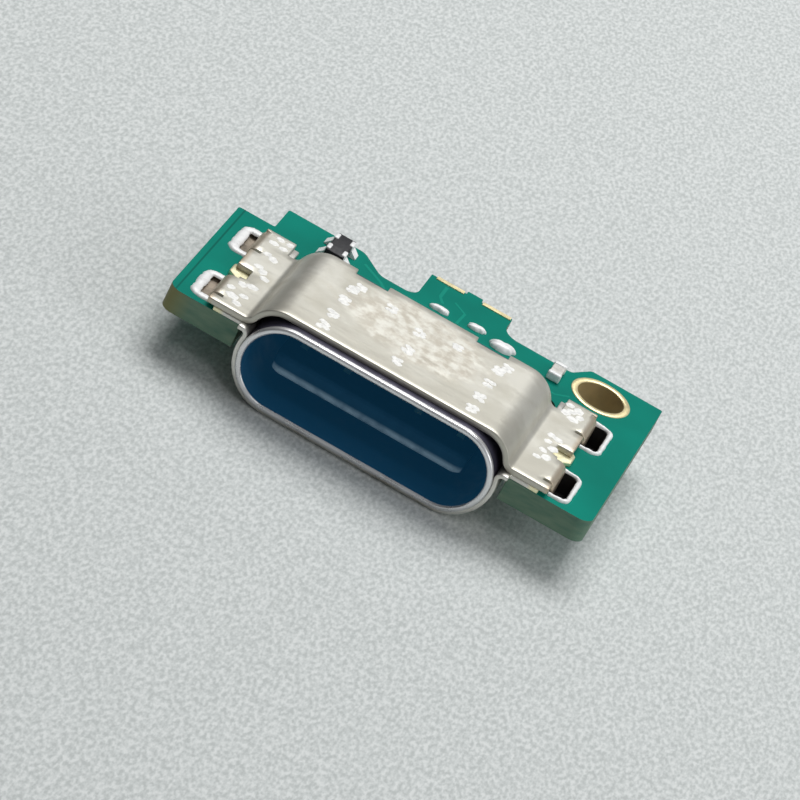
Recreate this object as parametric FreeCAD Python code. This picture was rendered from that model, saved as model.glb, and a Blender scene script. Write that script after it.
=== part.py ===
import FreeCAD, Part
import math
import os

# USB-C socket, mid mounted in a cut-out of its own small circuit board, sizes in millimetres
# Origin at the centre of the plug opening, X along the board, Y into the socket, Z up

# Plug opening and drawn tube
mouth_width = 8.34
mouth_height = 2.56
tube_wall = 0.20
tube_length = 5.40
lip_bevel = 0.07

# Top cover sheet
cover_sheet = 0.20
cover_front = 0.45
cover_rear = 5.37
cover_flat_half = 3.50
shoulder_radius = 1.05
flange_bend_radius = 0.25
lobe_inset = 0.10
flange_rear = 6.30
rear_tongue_inset = 0.20
recess_depth = 0.34
recess_near = 1.58
recess_far = 2.72

# Lower cradle sheet
cradle_sheet = 0.15
cradle_front = 0.18
cradle_rear = 5.00
cradle_bend_radius = 0.10
cradle_leg_gap = 0.17
barb_reach = 0.32
barb_start = 2.75
barb_width = 0.60
barb_tip_start = 0.21
barb_tip_end = 0.45

# Legs of the cover, one pair at the front and one at the rear
leg_half = 6.05
leg_bend_radius = 0.10
leg_starts = (1.00, 4.70)
leg_length_y = 1.45
leg_below_board = 0.28
leg_taper = 0.29
relief_width = 0.15
relief_reach = 0.33
window_width = 0.70

# Circuit board
board_top = 0.515
board_thickness = 0.80
board_beside_slot_left = 0.70
board_beside_slot_right = 1.05
board_front = 0.45
board_rear_left = 7.28
board_step_in = 1.30
board_rear_second = 8.78
board_bay = 7.93
board_bay_left = -2.70
tab_left = -1.00
tab_right = 1.95
tab_rear = 9.80
board_rear_middle = 8.62
board_rear_right = 9.40
board_step_from_hole = 0.96
board_step_slant = 0.26
corner_round = 0.42
small_round = 0.084
slant_round = 0.17
tab_round = 0.55
tab_corner = 0.04
cutout_clearance = 0.10
cutout_rear_room = 0.08
nub_left = 0.27
nub_width = 0.55
nub_reach = 0.20

# Plated slots for the legs
slot_side_room = 0.10
slot_outer_room = 0.45
slot_inner_room = 0.07
slot_rounding = 0.30
plating = 0.04
solder_ring = 0.16
solder_height = 0.07
ring_slope = 0.042
solder_foot = 0.14
foot_slope = 0.098

# Screw hole
hole_from_right = 1.87
hole_y = 8.07
hole_radius = 0.80
hole_ring = 0.22
copper = 0.03

# Moulded insulator with its tongue
tongue_tip = 0.50
tongue_width = 6.69
tongue_thickness = 0.70
tongue_corner = 0.30
tongue_bevel = 0.07
base_front = 4.50
step_front = 3.90
step_width = 7.30
step_thickness = 1.60
fit_gap = 0.02
block_rear = 6.05
block_top = 1.00
block_bottom = -1.10
block_width = 7.60

# Contacts
contact_sheet = 0.15
contact_width = 0.25
contact_inset_power = 1.00
contact_inset_signal = 1.25
jog_start = 4.60
jog_end = 5.70
tail_width = 0.22
tail_foot = 0.56
riser_gap = 0.06
contact_places = (-2.75, -1.25, -0.75, -0.25, 0.25, 0.75, 1.25, 2.75)
upper_tails = (-3.05, -2.25, -1.25, -0.25, 0.25, 1.25, 2.25, 3.05)
lower_tails = (-3.35, -2.55, -1.75, -0.75, 0.75, 1.75, 2.55, 3.35)
pad_centres = (-3.20, -2.40, -1.75, -1.25, -0.75, -0.25, 0.25, 0.75, 1.25, 1.75, 2.40, 3.20)
pad_margin = 0.04
pad_length_behind = 0.10
tail_wetting = 0.105

# Stiffening plate inside the tongue
plate_thickness = 0.12
plate_front = 0.80
latch_start = 1.60
latch_length = 1.10
latch_depth = 0.32
plate_tail_x = 3.78
plate_tail_width = 0.30

# Ground plates on the step of the insulator
ground_sheet = 0.10
ground_width = 6.90
ground_drop = 0.25

# Array chip at the rear left
chip_x = -3.80
chip_y = 7.72
chip_width = 0.64
chip_length = 1.40
chip_height = 0.34
chip_pitch = 0.86
chip_terminal_length = 0.36
chip_terminal_depth = 0.15
chip_pad_reach = 0.22
chip_wetting = 0.20

# Small capacitor at the rear right
cap_from_hole = 1.60
cap_y = 7.86
cap_length = 0.92
cap_width = 0.46
cap_height = 0.30
cap_terminal = 0.20

# Soldered pads behind the socket: centre x, centre y, length, width, height
rear_solders = ((-0.12, 7.86, 0.72, 0.34, 0.14),
                (1.20, 7.97, 0.70, 0.34, 0.14),
                (2.22, 7.66, 0.98, 0.56, 0.20))
lump_rounding = 0.42
lump_slope = 0.55

# Gilded pads on the rear edge of the tab: left end, length
edge_pads = ((-0.80, 1.00), (0.88, 1.02))
edge_pad_width = 0.16

# How far a cutting tool reaches past what it cuts
cut_reach = 1.0

# Values worked out from the sizes above
flange_half = leg_half - lobe_inset
cradle_flange_half = leg_half - cover_sheet - cradle_leg_gap
slot_far = leg_half + slot_outer_room
board_left = -slot_far - board_beside_slot_left
board_right = slot_far + board_beside_slot_right
board_step_x = board_left + board_step_in
hole_x = board_right - hole_from_right
board_step_right = hole_x - board_step_from_hole
cap_x = hole_x - cap_from_hole
mouth_radius = mouth_height / 2
end_centre = mouth_width / 2 - mouth_radius
tube_radius = mouth_radius + tube_wall
cradle_radius = tube_radius + cradle_sheet
board_bottom = board_top - board_thickness
cradle_flange_top = board_top + cradle_sheet
flange_top = cradle_flange_top + cover_sheet
cover_top = tube_radius + cover_sheet
leg_bottom = board_bottom - leg_below_board
tail_z = board_top + copper
tongue_half = tongue_thickness / 2
cutout_rear = block_rear + riser_gap + contact_sheet + cutout_rear_room
tail_end = cutout_rear + tail_foot


def vec(x, y, z):
    return FreeCAD.Vector(x, y, z)


# Straight and round edges between points of one plane

def line(a, b):
    return Part.LineSegment(a, b).toShape()


def arc(centre, radius, start, end, place):
    middle = (start + end) / 2
    points = [place(centre[0] + radius * math.cos(t), centre[1] + radius * math.sin(t))
              for t in (start, middle, end)]
    return Part.Arc(*points).toShape()


def prism(edges, direction):
    return Part.Face(Part.Wire(Part.__sortEdges__(edges))).extrude(direction)


def block(x0, x1, y0, y1, z0, z1):
    return Part.makeBox(x1 - x0, y1 - y0, z1 - z0, vec(x0, y0, z0))


def polygon_prism(points, direction):
    wire = Part.makePolygon(list(points) + [points[0]])
    return Part.Face(wire).extrude(direction)


# Plan outline from corner points, each with its own rounding

def rounded_plan(corners, z0, z1):
    edges = []
    ends = []
    count = len(corners)
    for i, (x, y, radius) in enumerate(corners):
        before = corners[i - 1]
        after = corners[(i + 1) % count]
        here = vec(x, y, z0)
        to_before = (vec(before[0], before[1], z0) - here).normalize()
        to_after = (vec(after[0], after[1], z0) - here).normalize()
        if radius <= 0:
            ends.append((here, here))
            continue
        half = to_before.getAngle(to_after) / 2
        reach = radius / math.tan(half)
        start = here + to_before * reach
        end = here + to_after * reach
        inward = (to_before + to_after).normalize()
        centre = here + inward * (radius / math.sin(half))
        edges.append(Part.Arc(start, centre - inward * radius, end).toShape())
        ends.append((start, end))
    for i in range(count):
        edges.append(line(ends[i - 1][1], ends[i][0]))
    return prism(edges, vec(0, 0, z1 - z0))


def oblong_plan(x0, x1, y0, y1, z0, z1, radius):
    corners = [(x0, y0, radius), (x1, y0, radius), (x1, y1, radius), (x0, y1, radius)]
    return rounded_plan(corners, z0, z1)


# Tube shape: straight top and bottom with half round ends

def stadium(radius, y0, y1):
    place = lambda x, z: vec(x, y0, z)
    edges = [line(place(-end_centre, radius), place(end_centre, radius)),
             arc((end_centre, 0), radius, math.pi / 2, -math.pi / 2, place),
             line(place(end_centre, -radius), place(-end_centre, -radius)),
             arc((-end_centre, 0), radius, -math.pi / 2, -3 * math.pi / 2, place)]
    return prism(edges, vec(0, y1 - y0, 0))


def edges_at_front(shape, y):
    return [e for e in shape.Edges if abs(e.BoundBox.YMin - y) < 1e-6 and abs(e.BoundBox.YMax - y) < 1e-6]


def make_inner_shell():
    shell = stadium(tube_radius, 0, tube_length).cut(stadium(mouth_radius, 0, tube_length))
    return shell.makeChamfer(lip_bevel, edges_at_front(shell, 0))


# Section of a bent sheet: flat middle, round shoulder, hollow bend and flange, the same on both sides
# side is +1 or -1, grow moves the line away from the sheet's outer face

def cover_line(grow):
    top = cover_top - grow
    foot = flange_top - grow
    outer = shoulder_radius - grow
    hollow = flange_bend_radius + grow
    low_z = cover_top - shoulder_radius
    bend_z = flange_top + flange_bend_radius
    reach = math.sqrt((shoulder_radius + flange_bend_radius) ** 2 - (bend_z - low_z) ** 2)
    bend_x = cover_flat_half + reach
    tilt = math.atan2(bend_z - low_z, reach)
    edges = [line(vec(-cover_flat_half, cover_front, top), vec(cover_flat_half, cover_front, top))]
    for side in (1, -1):
        place = lambda x, z, s=side: vec(s * x, cover_front, z)
        edges.append(arc((cover_flat_half, low_z), outer, math.pi / 2, tilt, place))
        edges.append(arc((bend_x, bend_z), hollow, math.pi + tilt, 3 * math.pi / 2, place))
        edges.append(line(place(bend_x, foot), place(flange_half, foot)))
    return edges


def cover_sheet_solid():
    edges = cover_line(0) + cover_line(cover_sheet)
    for side in (1, -1):
        edges.append(line(vec(side * flange_half, cover_front, flange_top),
                          vec(side * flange_half, cover_front, cradle_flange_top)))
    return prism(edges, vec(0, flange_rear - cover_front, 0))


def make_leg(side, start):
    place = lambda x, z: vec(side * x, start, z)
    centre = (leg_half - cover_sheet - leg_bend_radius, cradle_flange_top - leg_bend_radius)
    outer = leg_bend_radius + cover_sheet
    root = flange_half - relief_reach
    edges = [line(place(root, flange_top), place(centre[0], flange_top)),
             arc(centre, outer, math.pi / 2, 0, place),
             line(place(leg_half, centre[1]), place(leg_half, leg_bottom)),
             line(place(leg_half, leg_bottom), place(leg_half - cover_sheet, leg_bottom)),
             line(place(leg_half - cover_sheet, leg_bottom), place(leg_half - cover_sheet, centre[1])),
             arc(centre, leg_bend_radius, 0, math.pi / 2, place),
             line(place(centre[0], cradle_flange_top), place(root, cradle_flange_top)),
             line(place(root, cradle_flange_top), place(root, flange_top))]
    leg = prism(edges, vec(0, leg_length_y, 0))
    for y, turn in ((start, 1), (start + leg_length_y, -1)):
        corner = [vec(side * (leg_half + cover_sheet), y, leg_bottom),
                  vec(side * (leg_half + cover_sheet), y + turn * leg_taper, leg_bottom),
                  vec(side * (leg_half + cover_sheet), y, leg_bottom + leg_taper)]
        leg = leg.cut(polygon_prism(corner, vec(-side * 3 * cover_sheet, 0, 0)))
    return leg


def make_top_cover():
    cover = cover_sheet_solid()
    low = cradle_flange_top - cut_reach
    high = cover_top + cut_reach
    inner_edge = flange_inner_edge() + rear_tongue_inset
    cover = cover.cut(block(-inner_edge, inner_edge, cover_rear, flange_rear + cut_reach, low, high))
    for side in (1, -1):
        near, far = sorted((side * recess_near, side * recess_far))
        recess = oblong_plan(near, far, cover_rear - recess_depth, cover_rear + recess_depth,
                             low, high, recess_depth / 3)
        cover = cover.cut(recess)
        root, tip = sorted((side * (flange_half - relief_reach), side * (flange_half + cut_reach)))
        for start in leg_starts:
            cover = cover.cut(block(root, tip, start - relief_width,
                                    start + leg_length_y + relief_width, low, high))
        window = leg_starts[0] + leg_length_y
        cover = cover.cut(block(root, tip, window, window + relief_width + window_width, low, high))
        for start in leg_starts:
            cover = cover.fuse(make_leg(side, start))
    return cover.removeSplitter()


def flange_inner_edge():
    low_z = cover_top - shoulder_radius
    bend_z = flange_top + flange_bend_radius
    total = shoulder_radius + flange_bend_radius
    return cover_flat_half + math.sqrt(total ** 2 - (bend_z - low_z) ** 2)


# The cradle hugs the lower half of the tube and turns out over the board

def cradle_line(grow):
    radius = cradle_radius - grow
    bend = cradle_bend_radius + grow
    bend_z = board_top - cradle_bend_radius
    reach = math.sqrt((cradle_radius + cradle_bend_radius) ** 2 - bend_z ** 2)
    bend_x = end_centre + reach
    tilt = math.atan2(bend_z, reach)
    edges = [line(vec(-end_centre, cradle_front, -radius), vec(end_centre, cradle_front, -radius))]
    for side in (1, -1):
        place = lambda x, z, s=side: vec(s * x, cradle_front, z)
        edges.append(arc((end_centre, 0), radius, -math.pi / 2, tilt, place))
        edges.append(arc((bend_x, bend_z), bend, math.pi + tilt, math.pi / 2, place))
        edges.append(line(place(bend_x, board_top + grow), place(cradle_flange_half, board_top + grow)))
    return edges


def cradle_bend_x():
    bend_z = board_top - cradle_bend_radius
    return end_centre + math.sqrt((cradle_radius + cradle_bend_radius) ** 2 - bend_z ** 2)


def make_lower_cradle():
    edges = cradle_line(0) + cradle_line(cradle_sheet)
    for side in (1, -1):
        edges.append(line(vec(side * cradle_flange_half, cradle_front, board_top),
                          vec(side * cradle_flange_half, cradle_front, cradle_flange_top)))
    cradle = prism(edges, vec(0, flange_rear - cradle_front, 0))
    inside = cradle_bend_x() + cradle_sheet
    low = -cradle_radius - cut_reach
    cradle = cradle.cut(block(-inside, inside, cradle_rear, flange_rear + cut_reach, low, flange_top))
    for side in (1, -1):
        near, far = sorted((side * inside, side * (cradle_flange_half + cut_reach)))
        cradle = cradle.cut(block(near, far, 0, cover_front, board_top - cut_reach, flange_top))
        barb = [vec(side * cradle_flange_half, barb_start, board_top),
                vec(side * (cradle_flange_half + barb_reach), barb_start + barb_tip_start, board_top),
                vec(side * (cradle_flange_half + barb_reach), barb_start + barb_tip_end, board_top),
                vec(side * cradle_flange_half, barb_start + barb_width, board_top)]
        cradle = cradle.fuse(polygon_prism(barb, vec(0, 0, cradle_sheet)))
    return cradle.removeSplitter()


# Slot in the board for one leg, as low and high corners

def slot_corners(side, start, room=0.0):
    near = leg_half - cover_sheet - slot_inner_room - room
    x0, x1 = sorted((side * near, side * (slot_far + room)))
    return x0, x1, start - slot_side_room - room, start + leg_length_y + slot_side_room + room


def slot_prism(side, start, z0, z1, room=0.0):
    x0, x1, y0, y1 = slot_corners(side, start, room)
    return oblong_plan(x0, x1, y0, y1, z0, z1, (x1 - x0) * slot_rounding)


def make_circuit_board():
    outline = [(board_left, board_front, corner_round), (board_right, board_front, corner_round),
               (board_right, board_rear_right, small_round),
               (board_step_right + board_step_slant, board_rear_right, slant_round),
               (board_step_right - board_step_slant, board_rear_middle, slant_round),
               (tab_right, board_rear_middle, tab_round), (tab_right, tab_rear, tab_corner),
               (tab_left, tab_rear, tab_corner), (tab_left, board_bay, corner_round),
               (board_bay_left + corner_round, board_bay, corner_round),
               (board_bay_left - corner_round, board_rear_second, corner_round),
               (board_step_x, board_rear_second, small_round), (board_step_x, board_rear_left, small_round),
               (board_left, board_rear_left, small_round)]
    board = rounded_plan(outline, board_bottom, board_top)
    half = cradle_bend_x() + cutout_clearance
    low = board_bottom - cut_reach
    high = board_top + cut_reach
    notch = [(-half, board_front - cut_reach, 0), (half, board_front - cut_reach, 0),
             (half, cutout_rear, corner_round), (-half, cutout_rear, corner_round)]
    board = board.cut(rounded_plan(notch, low, high))
    nub = block(nub_left, nub_left + nub_width, tab_rear - nub_reach, tab_rear + nub_reach,
                board_bottom, board_top)
    board = board.fuse(nub)
    for side in (1, -1):
        for start in leg_starts:
            board = board.cut(slot_prism(side, start, low, high, plating))
    hole = Part.makeCylinder(hole_radius, high - low, vec(hole_x, hole_y, low))
    return board.cut(hole).removeSplitter()


# A copper ring on each side of the board, the barrel's plating being too thin to model

def make_screw_hole_plating():
    rings = []
    for z in (board_bottom - copper, board_top):
        place = vec(hole_x, hole_y, z)
        ring = Part.makeCylinder(hole_radius + hole_ring, copper, place)
        rings.append(ring.cut(Part.makeCylinder(hole_radius, copper, place)))
    return Part.makeCompound(rings)


# Solder lines the plated slot, makes a ring on the board and a foot round the leg below it

def make_leg_solder(side, start):
    ring = slot_prism(side, start, board_top, board_top + solder_height, plating + solder_ring)
    rim = [e for e in ring.Edges if e.BoundBox.ZMin > board_top + solder_height - 1e-6]
    ring = ring.makeChamfer(ring_slope, rim)
    lining = slot_prism(side, start, board_bottom, board_top, plating)
    hollow = slot_prism(side, start, board_bottom, board_top + cut_reach)
    inner = leg_half - cover_sheet / 2
    near, far = sorted((0, side * inner))
    ring = ring.cut(block(near, far, -cut_reach, flange_rear + cut_reach, board_top - cut_reach, flange_top))
    foot = slot_prism(side, start, board_bottom - solder_foot, board_bottom, plating + solder_ring / 2)
    edge = [e for e in foot.Edges if e.BoundBox.ZMax < board_bottom - solder_foot + 1e-6]
    foot = foot.makeChamfer(foot_slope, edge)
    x0, x1 = sorted((side * (leg_half - cover_sheet), side * leg_half))
    leg = block(x0, x1, start, start + leg_length_y, leg_bottom - cut_reach, flange_top)
    solder = ring.fuse(lining).cut(hollow).fuse(foot).cut(leg)
    return solder.removeSplitter()


# One contact or plate tail seen from the side: run, riser behind the block and foot on the board

def tail_profile(z_low, y_start, y_end, sheet, place):
    rise_from = block_rear + riser_gap
    foot_top = tail_z + sheet
    points = [place(y_start, z_low), place(rise_from + sheet, z_low),
              place(rise_from + sheet, tail_z), place(y_end, tail_z),
              place(y_end, foot_top), place(rise_from, foot_top),
              place(rise_from, z_low + sheet), place(y_start, z_low + sheet)]
    return points


def make_tail(x, z_low, y_start, sheet, width):
    place = lambda y, z: vec(x - width / 2, y, z)
    return polygon_prism(tail_profile(z_low, y_start, tail_end, sheet, place), vec(width, 0, 0))


def make_contact(level, index):
    x = contact_places[index]
    tails = upper_tails if level > 0 else lower_tails
    tail_x = tails[index]
    z_low = tongue_half - contact_sheet if level > 0 else -tongue_half
    power = index in (0, 1, len(contact_places) - 2, len(contact_places) - 1)
    front = tongue_tip + (contact_inset_power if power else contact_inset_signal)
    half = contact_width / 2
    slim = tail_width / 2
    plan = [vec(x - half, front, z_low), vec(x + half, front, z_low), vec(x + half, jog_start, z_low),
            vec(tail_x + slim, jog_end, z_low), vec(tail_x + slim, block_rear, z_low),
            vec(tail_x - slim, block_rear, z_low), vec(tail_x - slim, jog_end, z_low),
            vec(x - half, jog_start, z_low)]
    strip = polygon_prism(plan, vec(0, 0, contact_sheet))
    return strip.fuse(make_tail(tail_x, z_low, block_rear, contact_sheet, tail_width)).removeSplitter()


def make_mid_plate():
    half = tongue_width / 2
    low = -plate_thickness / 2
    plate = oblong_plan(-half, half, plate_front, block_rear, low, -low, tongue_corner)
    for side in (1, -1):
        x0, x1 = sorted((side * (half - latch_depth), side * (half + cut_reach)))
        plate = plate.cut(oblong_plan(x0, x1, latch_start, latch_start + latch_length, low, -low,
                                      latch_depth / 3))
        plate = plate.cut(Part.makeCylinder(latch_depth, plate_thickness,
                                            vec(side * half / 2, jog_start, low)))
        near, far = sorted((side * (half - latch_depth), side * (plate_tail_x + plate_tail_width / 2)))
        shelf = block(near, far, base_front + fit_gap, block_rear, low, -low)
        tail = make_tail(side * plate_tail_x, low, block_rear, plate_thickness, plate_tail_width)
        plate = plate.fuse(shelf).fuse(tail)
    return plate.removeSplitter()


def make_tongue():
    half = tongue_width / 2
    tongue = rounded_plan([(-half, base_front + fit_gap, 0), (-half, tongue_tip, tongue_corner),
                           (half, tongue_tip, tongue_corner), (half, base_front + fit_gap, 0)],
                          -tongue_half, tongue_half)
    tip = tongue_tip + tongue_corner
    rim = [e for e in tongue.Edges if e.BoundBox.YMax < tip + 1e-6 and e.BoundBox.ZLength < 1e-6]
    tongue = tongue.makeChamfer(tongue_bevel, rim)
    for side in (1, -1):
        x0, x1 = sorted((side * (half - latch_depth), side * (half + cut_reach)))
        tongue = tongue.cut(oblong_plan(x0, x1, latch_start, latch_start + latch_length,
                                        -tongue_half, tongue_half, latch_depth / 3))
    return tongue


def make_insulator(inserts):
    plug = stadium(mouth_radius - fit_gap, base_front, tube_length)
    step = block(-step_width / 2, step_width / 2, step_front, base_front + fit_gap,
                 -step_thickness / 2, step_thickness / 2)
    upright = [e for e in step.Edges if e.BoundBox.ZLength < 1e-6 and e.BoundBox.XLength < 1e-6]
    step = step.makeChamfer(tongue_corner, upright)
    rear = block(-block_width / 2, block_width / 2, tube_length, block_rear, block_bottom, block_top)
    body = plug.fuse(step).fuse(rear).fuse(make_tongue())
    for insert in inserts:
        body = body.cut(insert)
    return body.removeSplitter()


def make_ground_plate(level):
    half = ground_width / 2
    bottom = level * step_thickness / 2
    top = bottom + level * ground_sheet
    front = step_front - ground_sheet
    toe = level * (tongue_half + ground_drop)
    section = [vec(-half, base_front, bottom), vec(-half, base_front, top), vec(-half, front, top),
               vec(-half, front, toe), vec(-half, step_front, toe), vec(-half, step_front, bottom)]
    return polygon_prism(section, vec(ground_width, 0, 0))


# Each tail lies on its own pad, and the power pairs share a wider one

def make_tail_solder():
    solids = []
    for centre in pad_centres:
        tails = [t for t in upper_tails + lower_tails if abs(t - centre) < tail_width]
        low = min(tails) - tail_width / 2 - pad_margin
        high = max(tails) + tail_width / 2 + pad_margin
        pad_end = tail_end + pad_length_behind
        profile = [vec(low, cutout_rear + pad_margin, board_top), vec(low, pad_end, board_top),
                   vec(low, pad_end, board_top + copper), vec(low, tail_end, tail_z + tail_wetting),
                   vec(low, tail_end, tail_z), vec(low, cutout_rear + pad_margin, tail_z)]
        solids.append(polygon_prism(profile, vec(high - low, 0, 0)))
    for side in (1, -1):
        low = side * plate_tail_x - plate_tail_width / 2 - pad_margin
        width = plate_tail_width + 2 * pad_margin
        solids.append(block(low, low + width, cutout_rear + pad_margin, tail_end + pad_margin,
                            board_top, tail_z))
    return Part.makeCompound(solids)


def chip_terminal(side, end):
    outer = side * (chip_width / 2 + copper)
    inner = side * (chip_width / 2 + copper - chip_terminal_depth)
    x0, x1 = sorted((chip_x + outer, chip_x + inner))
    middle = chip_y + end * chip_pitch / 2
    return block(x0, x1, middle - chip_terminal_length / 2, middle + chip_terminal_length / 2,
                 tail_z, tail_z + chip_height + copper)


def make_chip_body(terminals):
    body = block(chip_x - chip_width / 2, chip_x + chip_width / 2, chip_y - chip_length / 2,
                 chip_y + chip_length / 2, tail_z, tail_z + chip_height)
    top = [e for e in body.Edges if e.BoundBox.ZMin > tail_z + chip_height - 1e-6]
    body = body.makeChamfer(copper, top)
    for terminal in terminals:
        body = body.cut(terminal)
    return body


def make_chip_solder():
    solids = []
    for side in (1, -1):
        for end in (1, -1):
            middle = chip_y + end * chip_pitch / 2 - chip_terminal_length / 2
            wall = chip_x + side * (chip_width / 2 + copper)
            toe = wall + side * chip_pad_reach
            heel = chip_x + side * (chip_width / 2 + copper - chip_terminal_depth)
            profile = [vec(heel, middle, board_top), vec(toe, middle, board_top), vec(toe, middle, tail_z),
                       vec(wall, middle, tail_z + chip_wetting), vec(wall, middle, tail_z),
                       vec(heel, middle, tail_z)]
            solids.append(polygon_prism(profile, vec(0, chip_terminal_length, 0)))
    return Part.makeCompound(solids)


def cap_terminal_block(end):
    tip = cap_y + end * cap_length / 2
    y0, y1 = sorted((tip, tip - end * cap_terminal))
    return block(cap_x - cap_width / 2, cap_x + cap_width / 2, y0, y1, board_top, board_top + cap_height)


def make_capacitor_body():
    reach = cap_length / 2 - cap_terminal
    inset = copper
    return block(cap_x - cap_width / 2 + inset, cap_x + cap_width / 2 - inset, cap_y - reach, cap_y + reach,
                 board_top, board_top + cap_height - inset)


# Low lump of solder with sloping sides

def make_rear_solder(x, y, length, width, height):
    lump = oblong_plan(x - length / 2, x + length / 2, y - width / 2, y + width / 2,
                       board_top, board_top + height, width * lump_rounding)
    top = [e for e in lump.Edges if e.BoundBox.ZMin > board_top + height - 1e-6]
    return lump.makeChamfer(height * lump_slope, top)


# Gilded pad folded over the rear edge of the board

def make_edge_pad(start, length):
    front = tab_rear - edge_pad_width
    section = [vec(start, front, board_top), vec(start, front, board_top + copper),
               vec(start, tab_rear + copper, board_top + copper), vec(start, tab_rear + copper, board_bottom),
               vec(start, tab_rear, board_bottom), vec(start, tab_rear, board_top)]
    return polygon_prism(section, vec(length, 0, 0))


# Every piece under its own name

def make_parts():
    parts = {"circuit_board": make_circuit_board(),
             "screw_hole_plating": make_screw_hole_plating(),
             "inner_shell": make_inner_shell(),
             "top_cover": make_top_cover(),
             "lower_cradle": make_lower_cradle()}
    for name, level in (("upper", 1), ("lower", -1)):
        for index in range(len(contact_places)):
            parts["%s_contact_%d" % (name, index + 1)] = make_contact(level, index)
        parts["%s_ground_plate" % name] = make_ground_plate(level)
    parts["mid_plate"] = make_mid_plate()
    inserts = [shape for name, shape in parts.items() if "contact" in name or name == "mid_plate"]
    parts["insulator"] = make_insulator(inserts)
    for side_name, side in (("left", -1), ("right", 1)):
        for end_name, start in zip(("front", "rear"), leg_starts):
            parts["leg_solder_%s_%s" % (end_name, side_name)] = make_leg_solder(side, start)
    parts["tail_solder"] = make_tail_solder()
    terminals = [chip_terminal(side, end) for side in (1, -1) for end in (1, -1)]
    parts["chip_body"] = make_chip_body(terminals)
    for index, terminal in enumerate(terminals):
        parts["chip_terminal_%d" % (index + 1)] = terminal
    parts["chip_solder"] = make_chip_solder()
    parts["capacitor_body"] = make_capacitor_body()
    parts["capacitor_terminal_front"] = cap_terminal_block(-1)
    parts["capacitor_terminal_rear"] = cap_terminal_block(1)
    for index, sizes in enumerate(rear_solders):
        parts["rear_solder_%d" % (index + 1)] = make_rear_solder(*sizes)
    for name, (start, length) in zip(("left", "right"), edge_pads):
        parts["edge_pad_%s" % name] = make_edge_pad(start, length)
    return parts


os.makedirs("parts", exist_ok=True)
for node, solid in make_parts().items():
    solid.exportStep("parts/%s.step" % node)
    box = solid.BoundBox
    print(node, len(solid.Solids), solid.isValid(), round(solid.Volume, 4),
          [round(v, 3) for v in (box.XMin, box.YMin, box.ZMin, box.XMax, box.YMax, box.ZMax)])
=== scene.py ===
# %% [markdown]
# # Dressing a mid mounted USB-C socket
# The real object is a charging socket soldered into the cut-out of a small green board. A thin drawn tube
# takes the plug, an arched sheet is welded over it, a second sheet hugs it from below, and a dark blue
# moulding carries the tongue. The whole thing is under 15 mm long, so every edge that catches light is only
# a few hundredths of a millimetre wide. This lesson builds each piece as a fine mesh around the solids.

# %% Load the fixed frame
import math
import random
import bmesh
import bpy
from mathutils import Matrix, Vector


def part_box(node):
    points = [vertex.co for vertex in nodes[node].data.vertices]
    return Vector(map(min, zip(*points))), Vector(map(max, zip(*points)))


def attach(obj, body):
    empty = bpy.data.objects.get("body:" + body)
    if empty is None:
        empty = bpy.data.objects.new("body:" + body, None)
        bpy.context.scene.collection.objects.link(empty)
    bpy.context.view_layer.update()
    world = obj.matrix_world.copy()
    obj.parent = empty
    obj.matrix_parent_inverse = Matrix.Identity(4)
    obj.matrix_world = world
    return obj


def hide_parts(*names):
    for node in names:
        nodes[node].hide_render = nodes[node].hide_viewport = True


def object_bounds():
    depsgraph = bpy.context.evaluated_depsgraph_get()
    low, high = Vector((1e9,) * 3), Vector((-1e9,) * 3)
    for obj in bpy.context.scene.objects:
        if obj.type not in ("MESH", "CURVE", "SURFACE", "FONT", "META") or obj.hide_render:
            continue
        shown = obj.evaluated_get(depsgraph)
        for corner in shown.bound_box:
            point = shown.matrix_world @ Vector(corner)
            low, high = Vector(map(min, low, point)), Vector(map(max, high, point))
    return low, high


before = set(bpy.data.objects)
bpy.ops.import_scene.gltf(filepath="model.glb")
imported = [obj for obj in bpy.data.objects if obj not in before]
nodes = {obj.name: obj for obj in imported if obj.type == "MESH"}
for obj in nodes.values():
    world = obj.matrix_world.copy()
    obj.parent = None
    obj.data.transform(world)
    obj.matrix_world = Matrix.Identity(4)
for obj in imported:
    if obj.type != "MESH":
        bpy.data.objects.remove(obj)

solid_low, solid_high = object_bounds()
print("solids:", len(nodes), "size in mm:", [round(1000 * v, 2) for v in (solid_high - solid_low)])

# %% [markdown]
# Everything below is thought out in millimetres, because that is how a connector drawing is read. One small
# helper turns a node's box into millimetres, and one turns finished points back into metres. The others turn
# faces outward, round the edges and hang a finished piece on the part. A seeded random source keeps the small
# irregularities the same on every run.

# %% Millimetres in, metres out
MM = 0.001
TOUCHING = 1e-7
rough_hand = random.Random(7)


def box_mm(node):
    low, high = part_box(node)
    return low / MM, high / MM


def mesh_piece(name, points, faces, materials, face_material=None):
    mesh = bpy.data.meshes.new(name)
    mesh.from_pydata([(x * MM, y * MM, z * MM) for x, y, z in points], [], faces)
    for material in materials:
        mesh.materials.append(material)
    if face_material:
        for polygon, index in zip(mesh.polygons, face_material):
            polygon.material_index = index
    mesh.validate()
    piece = bpy.data.objects.new(name, mesh)
    bpy.context.scene.collection.objects.link(piece)
    return piece


def shade_smooth(piece, sharp_angle=None):
    for polygon in piece.data.polygons:
        polygon.use_smooth = True
    if sharp_angle:
        piece.data.set_sharp_from_angle(angle=math.radians(sharp_angle))


def face_outward(piece, join=False, up=0):
    """On an open sheet, up is 1 or -1: the way that its outer side looks along Z."""
    shape = bmesh.new()
    shape.from_mesh(piece.data)
    if join:
        bmesh.ops.remove_doubles(shape, verts=shape.verts, dist=TOUCHING)
    bmesh.ops.recalc_face_normals(shape, faces=shape.faces)
    if up:
        outer = max(shape.faces, key=lambda face: up * face.calc_center_median().z)
        if outer.normal.z * up < 0:
            bmesh.ops.reverse_faces(shape, faces=shape.faces)
    shape.to_mesh(piece.data)
    shape.free()


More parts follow.
